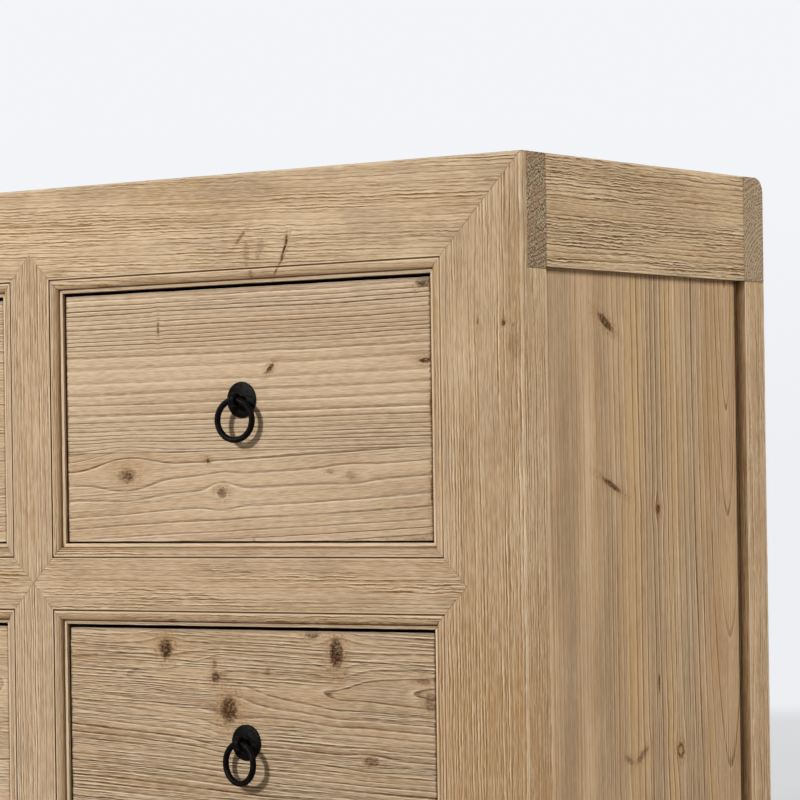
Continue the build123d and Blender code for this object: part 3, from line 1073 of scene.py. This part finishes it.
@dataclass
class Carcase:
    """The mitred front frame, the framed sides and back, the top and the runners."""

    body: str = "carcase"
    panel_soften: float = 0.50

    def frame_finishes(self) -> tuple[PineFinish, ...]:
        """Describe the pine of the front and rear frames.

        Returns:
            One finish for each kind of timber.
        """
        rails = dict(
            pitch=4.3, heart_depth=90.0, heart_across=260.0, tilt=0.004, wander=2.0, ripple=0.7,
            ripple_length=34.0, jitter=0.9, lines=0.65, ridges=0.50, strokes=0.15, stroke_length=36.0,
            threads=0.80, furrows=0.12, bands=0.45, mottle=0.40, gloom=0.6, relief=0.6,
        )
        posts = dict(
            pitch=5.4, heart_depth=100.0, heart_across=-180.0, tilt=0.01, wander=3.0, ripple=1.0,
            ripple_length=70.0, jitter=0.9, lines=0.65, ridges=0.50, strokes=0.15, stroke_length=46.0,
            threads=0.75, furrows=0.25, bands=0.40, gloom=0.85, relief=0.6,
        )
        # the right stile's quirk gets a pale tone in place of dark painted shade
        pale_quirk = dict(quirk=0.75, quirk_tone=(0.98, 0.70, 0.40))
        return (
            PineFinish("rail_pine", pale=(0.625, 0.448, 0.30), **rails | dict(threads=1.0, ridges=0.65)),
            PineFinish(
                "top_rail_pine",
                pale=(0.72, 0.53, 0.345),
                slope=0.03,
                knots=(
                    Knot(307.8, -14.0, 4.5, 0.32, 1.0, 1.5, 0.15),
                    Knot(305.0, -22.0, 8.0, 0.15, 1.0, 1.0, 0.45),
                    Knot(298.5, -36.0, 9.0, 0.12, 0.9, 0.0, 0.70),
                    Knot(256.0, -8.0, 6.0, 0.35, 0.55, 2.0, 0.9),
                    Knot(262.0, -24.0, 11.0, 0.26, 0.30, 1.0),
                    Knot(277.0, -20.0, 9.0, 0.40, 0.34, 2.0, 0.3),
                    Knot(266.0, -42.0, 4.0, 0.60, 0.50, 0.0),
                    Knot(-180.0, 5.0, 4.0, 1.2, 0.6, 4.0),
                ),
                **rails,
            ),
            PineFinish(
                "rear_rail_pine",
                pale=(0.63, 0.452, 0.30),
                arcs=0.70,
                **rails | dict(pitch=3.4, heart_depth=-36.0, heart_across=-52.0),
            ),
            PineFinish("post_pine", pale=(0.64, 0.472, 0.322), tan=(0.54, 0.385, 0.25), quirk=0.62, **posts),
            PineFinish("rear_post_pine", pale=(0.635, 0.44, 0.265), tan=(0.52, 0.345, 0.20), **posts),
            PineFinish(
                "right_stile_pine",
                pale=(0.615, 0.435, 0.27),
                tan=(0.47, 0.303, 0.165),
                tail=0.95,
                knots=(
                    Knot(224.0, 30.0, 1.8, 1.2, 0.9, 2.0),
                    Knot(227.0, 3.0, 1.2, 2.5, 0.6, 1.5, 0.5),
                    Knot(222.0, 40.0, 1.4, 1.2, 0.5, 1.0),
                    Knot(205.0, 41.0, 5.0, 2.8, 0.25, 1.0),
                ),
                **posts | pale_quirk | dict(threads=0.65),
            ),
        )

    def side_finishes(self) -> tuple[PineFinish, ...]:
        """Describe the pine of the side rails, the side panels and the hidden boards.

        Returns:
            One finish for each kind of timber.
        """
        return (
            PineFinish(
                "side_rail_pine",
                pale=(0.72, 0.51, 0.30), tan=(0.57, 0.375, 0.205), late=(0.15, 0.066, 0.006),
                pitch=4.6, heart_depth=90.0, heart_across=240.0, tilt=0.004, wander=2.0, ripple=0.9,
                ripple_length=40.0, jitter=1.2, lines=1.0, ridges=0.90, line_width=1.2, strokes=0.20,
                stroke_length=30.0, threads=1.0, furrows=0.12, bands=0.30, seams=0.85, relief=0.7,
            ),
            PineFinish(
                "side_panel_pine",
                pale=(0.63, 0.425, 0.243), tan=(0.50, 0.32, 0.174), late=(0.16, 0.062, 0.004),
                grey=(0.37, 0.26, 0.158), pitch=8.4, heart_depth=17.0, heart_across=144.0, tilt=-0.07,
                wander=2.0, ripple=0.30, ripple_length=160.0, jitter=0.6, lines=1.0, ridges=0.65,
                line_width=1.7, steady=0.85, body=0.20, strokes=0.25, stroke_length=110.0, threads=0.55,
                hair=0.12, furrows=0.15, bands=0.55, relief=0.5,
                quiet=((-95.0, 85.0, 0.70),),
                glue_lines=(-106.0, 10.0),
                stripes=(
                    Stripe(-124.0, 12.0, 0.70, "grey"),
                    Stripe(-97.0, 8.0, 0.20, "ridge"),
                    Stripe(-62.0, 14.0, 0.50, "grey"),
                    Stripe(-20.0, 13.0, 0.60, "gold"),
                    Stripe(25.0, 13.0, 0.70, "grey"),
                    Stripe(49.0, 11.0, 0.65, "gold"),
                    Stripe(84.0, 13.0, 0.65, "grey"),
                    Stripe(118.0, 22.0, 0.45, "warm"),
                ),
                knots=(
                    Knot(228.0, -58.0, 11.5, 0.38, 0.95, 2.0, -0.52),
                    Knot(85.0, -52.0, 14.0, 0.19, 0.90, 2.0, -0.42),
                    Knot(63.0, 24.0, 3.4, 1.1, 0.85, 4.0),
                    Knot(-93.0, 22.0, 1.5, 5.0, 0.85, 1.0),
                    Knot(-159.0, -29.0, 6.5, 0.45, 0.50, 1.0, -0.5),
                    Knot(-156.0, -8.0, 9.5, 0.38, 0.58, 2.0, 0.6),
                    Knot(-156.0, 57.0, 5.2, 1.25, 1.0, 4.5, 0.0, 0.95),
                ),
            ),
            PineFinish(
                "planed_pine", pitch=6.5, lines=0.5, ridges=0.1, strokes=0.25, threads=0.2, furrows=0.1,
                relief=0.3, knots=(Knot(60.0, 12.0, 6.0), Knot(-110.0, -30.0, 5.0)),
            ),
        )

    def boards(self) -> list[Board]:
        """Give every timber its grain and its finish.

        Returns:
            The carcase's boards.
        """
        finishes = (*self.frame_finishes(), *self.side_finishes())
        wood = {finish.name: finish.dress() for finish in finishes}
        rail, post, side, flat = Grain.X_FACING_Y, Grain.Z_FACING_Y, Grain.Y_FACING_X, Grain.X_FACING_Z
        timbers = (
            ("front_top_rail", rail, "top_rail_pine"),
            ("front_bottom_rail", rail, "rail_pine"),
            ("front_left_stile", post, "post_pine"),
            ("front_right_stile", post, "right_stile_pine"),
            ("centre_stile_upper", post, "post_pine"),
            ("centre_stile_lower", post, "post_pine"),
            ("mid_rail_left", rail, "rail_pine"),
            ("mid_rail_right", rail, "rail_pine"),
            ("rear_top_rail", rail, "rear_rail_pine"),
            ("rear_bottom_rail", rail, "rear_rail_pine"),
            ("rear_left_post", post, "rear_post_pine"),
            ("rear_right_post", post, "rear_post_pine"),
            ("left_top_rail", side, "side_rail_pine"),
            ("right_top_rail", side, "side_rail_pine"),
            ("left_bottom_rail", side, "side_rail_pine"),
            ("right_bottom_rail", side, "side_rail_pine"),
        )
        panels = (
            ("left_side_panel", Grain.Z_FACING_X, "side_panel_pine"),
            ("right_side_panel", Grain.Z_FACING_X, "side_panel_pine"),
            ("top_panel", flat, "rail_pine"),
        )
        hands = ("left", "right", "centre")
        runners = [(f"runner_{hand}_{row}", side) for hand in hands for row in ("upper", "lower")]
        hidden = (("back_panel", post), ("bottom_panel", flat), ("rear_centre_post", post), *runners)
        boards = []
        for node, grain, pine in timbers:
            boards.append(Board(node, self.body, grain, wood[pine], "pine_frame"))
        for node, grain, pine in panels:
            boards.append(Board(node, self.body, grain, wood[pine], "pine_panel", self.panel_soften))
        for node, grain in hidden:
            boards.append(Board.hidden(node, self.body, grain, wood["planed_pine"], "pine_inner"))
        return boards

    def build(self) -> None:
        """Build every timber of the carcase."""
        boards = self.boards()
        for board in boards:
            board.build()
        log.info("carcase: %d timbers on %s", len(boards), self.body)


def forged_ring_tree() -> tuple[bpy.types.NodeTree, dict[str, str]]:
    """Build the node tree that bends a wire into a slightly uneven ring.

    Returns:
        The tree and each input's identifier by name.
    """
    tree = bpy.data.node_groups.new("forged_ring", "GeometryNodeTree")
    kinds = {
        "Ring radius": "NodeSocketFloat",
        "Wire radius": "NodeSocketFloat",
        "Uneven": "NodeSocketFloat",
        "Seed": "NodeSocketInt",
        "Iron": "NodeSocketMaterial",
    }
    make = tree.interface.new_socket
    sockets = {name: make(name, in_out="INPUT", socket_type=kind).identifier for name, kind in kinds.items()}
    make("Geometry", in_out="OUTPUT", socket_type="NodeSocketGeometry")
    kit = NodeKit(tree)
    given = kit.node("NodeGroupInput", {}, {}).outputs
    circle = "GeometryNodeCurvePrimitiveCircle"
    path = kit.add(circle, {}, {"Resolution": RING_STEPS, "Radius": given["Ring radius"]})
    wire = kit.add(circle, {}, {"Resolution": WIRE_STEPS, "Radius": given["Wire radius"]})
    swept = kit.add("GeometryNodeCurveToMesh", {}, {"Curve": path, "Profile Curve": wire})
    place = kit.vector("ADD", kit.add("GeometryNodeInputPosition", {}, {}), given["Seed"])
    hammer = kit.add("ShaderNodeTexNoise", {}, {"Vector": place, "Scale": HAMMER_SCALE, "Detail": 1.0})
    outward = kit.add("GeometryNodeInputNormal", {}, {})
    amount = (hammer - HAMMER_LEVEL) * Val(kit, given["Uneven"])
    push = kit.add("ShaderNodeVectorMath", {"operation": "SCALE"}, {0: outward, "Scale": amount})
    moved = kit.add("GeometryNodeSetPosition", {}, {"Geometry": swept, "Offset": push})
    smooth = kit.add("GeometryNodeSetShadeSmooth", {}, {"Geometry": moved})
    real = kit.add("GeometryNodeRealizeInstances", {}, {"Geometry": smooth})
    dressed = kit.add("GeometryNodeSetMaterial", {}, {"Geometry": real, "Material": given["Iron"]})
    kit.node("NodeGroupOutput", {}, {0: dressed})
    return tree, sockets


@dataclass
class RingPull:
    """An iron plate and eye on a drawer front, with the ring that hangs in it."""

    tag: str
    iron: bpy.types.Material
    turn_deg: float
    seed: int
    ring_radius: float = 17.95
    wire_radius: float = 2.8
    uneven: float = 0.22

    def build(self) -> None:
        """Dress the plate and the eye, and forge the ring."""
        for part in ("plate", "eye"):
            mesh = frame["nodes"][f"pull_{self.tag}_{part}"].data
            mesh.materials.clear()
            mesh.materials.append(self.iron)
        self.ring()

    def ring(self) -> None:
        """Bend the ring, put it in the eye and let it ride on its own body."""
        node = f"ring_{self.tag}"
        low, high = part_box(node)
        piece = bpy.data.objects.new(node + "_iron", bpy.data.meshes.new(node + "_start"))
        bpy.context.scene.collection.objects.link(piece)
        tree, sockets = forged_ring_tree()
        modifier = piece.modifiers.new("forge", "NODES")
        modifier.node_group = tree
        values = {
            "Ring radius": self.ring_radius * MM,
            "Wire radius": self.wire_radius * MM,
            "Uneven": self.uneven * MM,
            "Seed": self.seed,
            "Iron": self.iron,
        }
        for name, value in values.items():
            modifier[sockets[name]] = value
        graph = bpy.context.evaluated_depsgraph_get()
        graph.update()
        mesh = bpy.data.meshes.new_from_object(piece.evaluated_get(graph))
        piece.modifiers.remove(modifier)
        upright = Matrix.Rotation(math.radians(90.0), 4, "X")
        turn = Matrix.Rotation(math.radians(self.turn_deg), 4, "Z")
        mesh.transform(Matrix.Translation((low + high) / 2) @ turn @ upright)
        piece.data = mesh
        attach(piece, node)
        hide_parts(node)


@dataclass
class Drawer:
    """One drawer: a knotted pine front, a plain box behind it and a ring pull."""

    tag: str
    front_finish: PineFinish
    box_wood: bpy.types.Material
    iron: bpy.types.Material
    ring_turn: float
    seed: int

    def build(self) -> None:
        """Build the drawer's timbers and its pull."""
        body = f"drawer_{self.tag}"
        front = self.front_finish.dress()
        Board(f"{body}_front", body, Grain.X_FACING_Y, front, "pine_drawer_front", 0.6, wobble=0.45).build()
        parts = (
            ("left_side", Grain.Y_FACING_X),
            ("right_side", Grain.Y_FACING_X),
            ("back", Grain.X_FACING_Y),
            ("bottom", Grain.X_FACING_Z),
        )
        for part, grain in parts:
            Board.hidden(f"{body}_{part}", body, grain, self.box_wood, "pine_drawer_box").build()
        RingPull(self.tag, self.iron, self.ring_turn, self.seed).build()
        log.info("drawer %s: front, box and ring pull on %s", self.tag, body)


@dataclass
class Drawers:
    """All the drawers, each front with its own knots and its ring turned by some degrees."""

    first_seed: int = 3

    def front_finishes(self) -> dict[tuple[str, float], PineFinish]:
        """Give each front its growth rings and knots.

        Returns:
            Finish by the drawer's tag and the turn of its iron ring.
        """
        # each front gets painted shade in the gap round it and a painted shadow of the rail above on its
        # upper rim
        light = dict(
            pale=(0.685, 0.50, 0.328), tan=(0.57, 0.395, 0.242), late=(0.135, 0.052, 0.004),
            ridge=(1.0, 0.84, 0.635), gloom=0.50, rim=0.50,
        )
        dark = dict(
            pale=(0.60, 0.42, 0.258), tan=(0.44, 0.285, 0.158), late=(0.085, 0.031, 0.003),
            ridge=(1.0, 0.82, 0.60), gloom=0.50, rim=0.50,
        )
        bold = dict(pitch=6.0, wander=2.0, ragged=5.0, lines=1.0, ridges=1.0, line_width=1.5, relief=0.7)
        calm = dict(
            wander=4.0, ripple=0.7, ripple_length=80.0, lines=0.95, ridges=0.85, strokes=0.15,
            stroke_length=50.0, threads=0.50, furrows=0.12, relief=0.6,
        )
        return {
            ("upper_right", 8.0): PineFinish(
                "drawer_upper_right_pine", heart_depth=60.0, heart_across=300.0, tilt=0.02, ripple=0.45,
                ripple_length=90.0, jitter=0.30, steady=0.80, body=0.30, strokes=0.10, stroke_length=60.0,
                threads=0.36, hair=0.20, furrows=0.12, bands=0.35, mottle=0.12, swell=6.0, dense_at=-18.0,
                quiet=((35.0, 26.0, 0.60),),
                glue_lines=(-32.5,),
                low_board=LowBoard(1.75, 0.75, -0.045),
                knots=(
                    Knot(-137.4, -53.8, 6.5, 1.5, 0.50, 13.0),
                    Knot(-136.0, -54.0, 3.6, 1.6, 0.95, 0.0),
                    Knot(32.6, 40.4, 4.0, 0.75, 0.95, 1.5, 0.7),
                    Knot(-40.6, -41.5, 2.2, 1.0, 0.85, 1.5),
                    Knot(-24.7, -70.6, 4.4, 1.1, 0.70, 9.0),
                    Knot(121.7, -56.3, 3.4, 1.6, 0.35, 3.0),
                    Knot(98.6, -52.5, 2.0, 2.2, 0.35, 1.0),
                    Knot(-97.5, 81.1, 7.0, 0.16, 0.6, 1.0),
                    Knot(11.5, -113.1, 1.4, 1.0, 0.8, 0.0),
                    Knot(205.0, 41.9, 2.2, 3.4, 1.0, 0.0),
                    # painted shade: the next two flat dark knots at the right end paint the widening gaps
                    # above and below the front
                    Knot(203.0, 110.2, 4.4, 1.8, 0.85, 0.0),
                    Knot(203.0, -114.6, 2.4, 11.0, 1.0, 0.0),
                    Knot(210.5, 4.0, 10.0, 0.22, 0.75, 0.0),
                    Knot(210.5, -72.0, 15.0, 0.17, 0.80, 0.0),
                ),
                **light | bold | dict(pale=(0.675, 0.491, 0.321), tan=(0.60, 0.42, 0.262)),
            ),
            ("lower_right", -8.0): PineFinish(
                "drawer_lower_right_pine", heart_depth=32.0, heart_across=67.0, tilt=-0.055, slope=0.035,
                ripple=0.6, ripple_length=80.0, jitter=0.4, steady=0.60, strokes=0.20, stroke_length=50.0,
                threads=0.75, furrows=0.20, bands=0.55, mottle=0.25,
                knots=(
                    Knot(-93.4, 96.0, 8.5, 0.80, 1.0, 7.0),
                    Knot(102.4, 95.0, 12.5, 0.55, 1.0, 9.0),
                    Knot(76.0, 111.0, 3.6, 1.8, 0.75, 3.0),
                    Knot(-35.0, 71.0, 5.2, 0.85, 0.9, 5.0),
                    Knot(-36.0, 83.0, 3.6, 0.7, 0.5, 2.0),
                    Knot(-20.0, 42.0, 11.0, 0.80, 0.95, 9.0),
                    Knot(140.0, 0.6, 4.2, 1.8, 0.6, 4.0),
                    Knot(25.4, 78.0, 3.6, 0.8, 0.35, 2.0),
                    Knot(204.0, 54.0, 7.0, 0.8, 0.55, 0.0),
                    Knot(198.0, 72.0, 2.2, 3.0, 0.6, 0.0),
                ),
                **dark | bold,
            ),
            ("upper_left", -5.0): PineFinish(
                "drawer_upper_left_pine",
                pitch=6.5,
                heart_across=-40.0,
                knots=(Knot(110.0, 35.0, 6.0, 1.0, 0.7, 7.0), Knot(-120.0, -60.0, 5.0, 1.3, 0.6, 7.0)),
                **light | calm,
            ),
            ("lower_left", 4.0): PineFinish(
                "drawer_lower_left_pine",
                pitch=7.0,
                heart_across=55.0,
                knots=(Knot(-60.0, 50.0, 6.5, 1.1, 0.7, 8.0), Knot(140.0, -35.0, 4.0, 1.0, 0.6, 5.0)),
                **light | calm,
            ),
        }

    def build(self) -> None:
        """Build the drawers."""
        box_wood = PineFinish(
            "drawer_box_pine", pale=(0.66, 0.50, 0.34), tan=(0.55, 0.40, 0.25), lines=0.45, ridges=0.1,
            strokes=0.2, relief=0.25, knots=(Knot(50.0, 40.0, 5.0), Knot(-90.0, -25.0, 4.0)),
        ).dress()
        iron = IronFinish().dress()
        for seed, ((tag, turn), finish) in enumerate(self.front_finishes().items(), start=self.first_seed):
            Drawer(tag, finish, box_wood, iron, turn, seed).build()


@dataclass(frozen=True)
class Lamp:
    """A square area light: its place, its side in metres, its power in watts and its colour."""

    name: str
    place: tuple[float, float, float]
    side: float
    power: float
    tint: RGB

    def hang(self, target: Vector) -> None:
        """Hang the lamp and point it at a target.

        Args:
            target: The point that it looks at.
        """
        data = bpy.data.lights.new(self.name, "AREA")
        data.size = self.side
        data.energy = self.power
        data.color = self.tint
        lamp = bpy.data.objects.new(self.name, data)
        lamp.location = self.place
        lamp.rotation_euler = (target - Vector(self.place)).to_track_quat("-Z", "Y").to_euler()
        bpy.context.scene.collection.objects.link(lamp)


@dataclass
class Studio:
    """Camera, lights, world and floor."""

    corner: Vector = field(default_factory=lambda: Vector((0.5605, -0.19465, 0.739)))
    camera_offset: Vector = field(default_factory=lambda: Vector((1.6830, -2.4579, -0.2809)))
    azimuth_deg: float = 36.431
    roll_deg: float = -0.815
    focal_px: float = 3525.3
    frame_px: float = 800.0
    horizon_px: float = 483.98
    sensor: float = 36.0
    wall_low: RGB = (0.847, 0.863, 0.896)
    wall_high: RGB = (0.896, 0.913, 0.939)
    wall_rise: float = 0.10
    ambient: float = 0.16
    ambient_tint: RGB = (1.0, 0.92, 0.80)
    floor_reach: float = 30.0
    lit_point: Vector = field(default_factory=lambda: Vector((0.1, 0.0, 0.42)))
    lamps: tuple[Lamp, ...] = (
        Lamp("key", (-1.05, -3.7, 2.15), 0.5, 125.5, (1.0, 1.0, 0.995)),
        Lamp("side_fill", (4.2, 0.1, 2.2), 1.4, 97.0, (1.0, 0.998, 0.99)),
        Lamp("back_fill", (-1.5, 4.0, 2.0), 2.5, 60.0, (1.0, 1.0, 1.0)),
    )

    def build(self) -> None:
        """Set up everything that isn't the chest."""
        self.camera()
        for lamp in self.lamps:
            lamp.hang(self.lit_point)
        self.world()
        self.floor()
        log.info("studio: camera, lights and floor")

    def camera(self) -> None:
        """Place the camera at the photograph's angle."""
        data = bpy.data.cameras.new("view_camera")
        data.lens = self.focal_px / self.frame_px * self.sensor
        data.sensor_width = self.sensor
        data.shift_y = (self.horizon_px - self.frame_px / 2) / self.frame_px
        data.clip_end = 80.0
        camera = bpy.data.objects.new("view_camera", data)
        place = Matrix.Translation(self.corner + self.camera_offset)
        turn = Matrix.Rotation(math.radians(self.azimuth_deg), 4, "Z")
        level = Matrix.Rotation(math.radians(90.0), 4, "X")
        roll = Matrix.Rotation(math.radians(self.roll_deg), 4, "Z")
        camera.matrix_world = place @ turn @ level @ roll
        bpy.context.scene.collection.objects.link(camera)
        bpy.context.scene.camera = camera

    def world(self) -> None:
        """Weak warm light all round, and a pale background for the camera."""
        world = bpy.data.worlds.new("studio")
        world.use_nodes = True
        kit = NodeKit(world.node_tree)
        height = kit.parts(kit.add("ShaderNodeTexCoord", {}, {}, "Generated"))[2]
        reach = {"Value": height, "From Min": 0.0, "From Max": self.wall_rise}
        rise = kit.add("ShaderNodeMapRange", {}, reach)
        wall = kit.add("ShaderNodeBackground", {}, {"Color": kit.mix(rise, self.wall_low, self.wall_high)})
        light = {"Color": (*self.ambient_tint, 1.0), "Strength": self.ambient}
        ambient = kit.add("ShaderNodeBackground", {}, light)
        seen = kit.add("ShaderNodeLightPath", {}, {}, "Is Camera Ray")
        both = kit.add("ShaderNodeMixShader", {}, {0: seen, 1: ambient, 2: wall})
        kit.node("ShaderNodeOutputWorld", {}, {"Surface": both})
        bpy.context.scene.world = world

    def floor(self) -> None:
        """A wide pale floor under the chest."""
        bm = bmesh.new()
        bmesh.ops.create_grid(bm, x_segments=12, y_segments=12, size=self.floor_reach)
        mesh = bpy.data.meshes.new("floor")
        bm.to_mesh(mesh)
        bm.free()
        mesh.materials.append(FloorFinish().dress())
        floor = bpy.data.objects.new("floor", mesh)
        bpy.context.scene.collection.objects.link(floor)


def main() -> None:
    """Build the studio and the chest."""
    logging.basicConfig(level=logging.INFO, format="%(name)s: %(message)s")
    bpy.context.scene.view_settings.view_transform = "Standard"
    sort_nodes()
    Openings.measure()
    Studio().build()
    Carcase().build()
    Drawers().build()


if __name__ == "__main__":
    main()
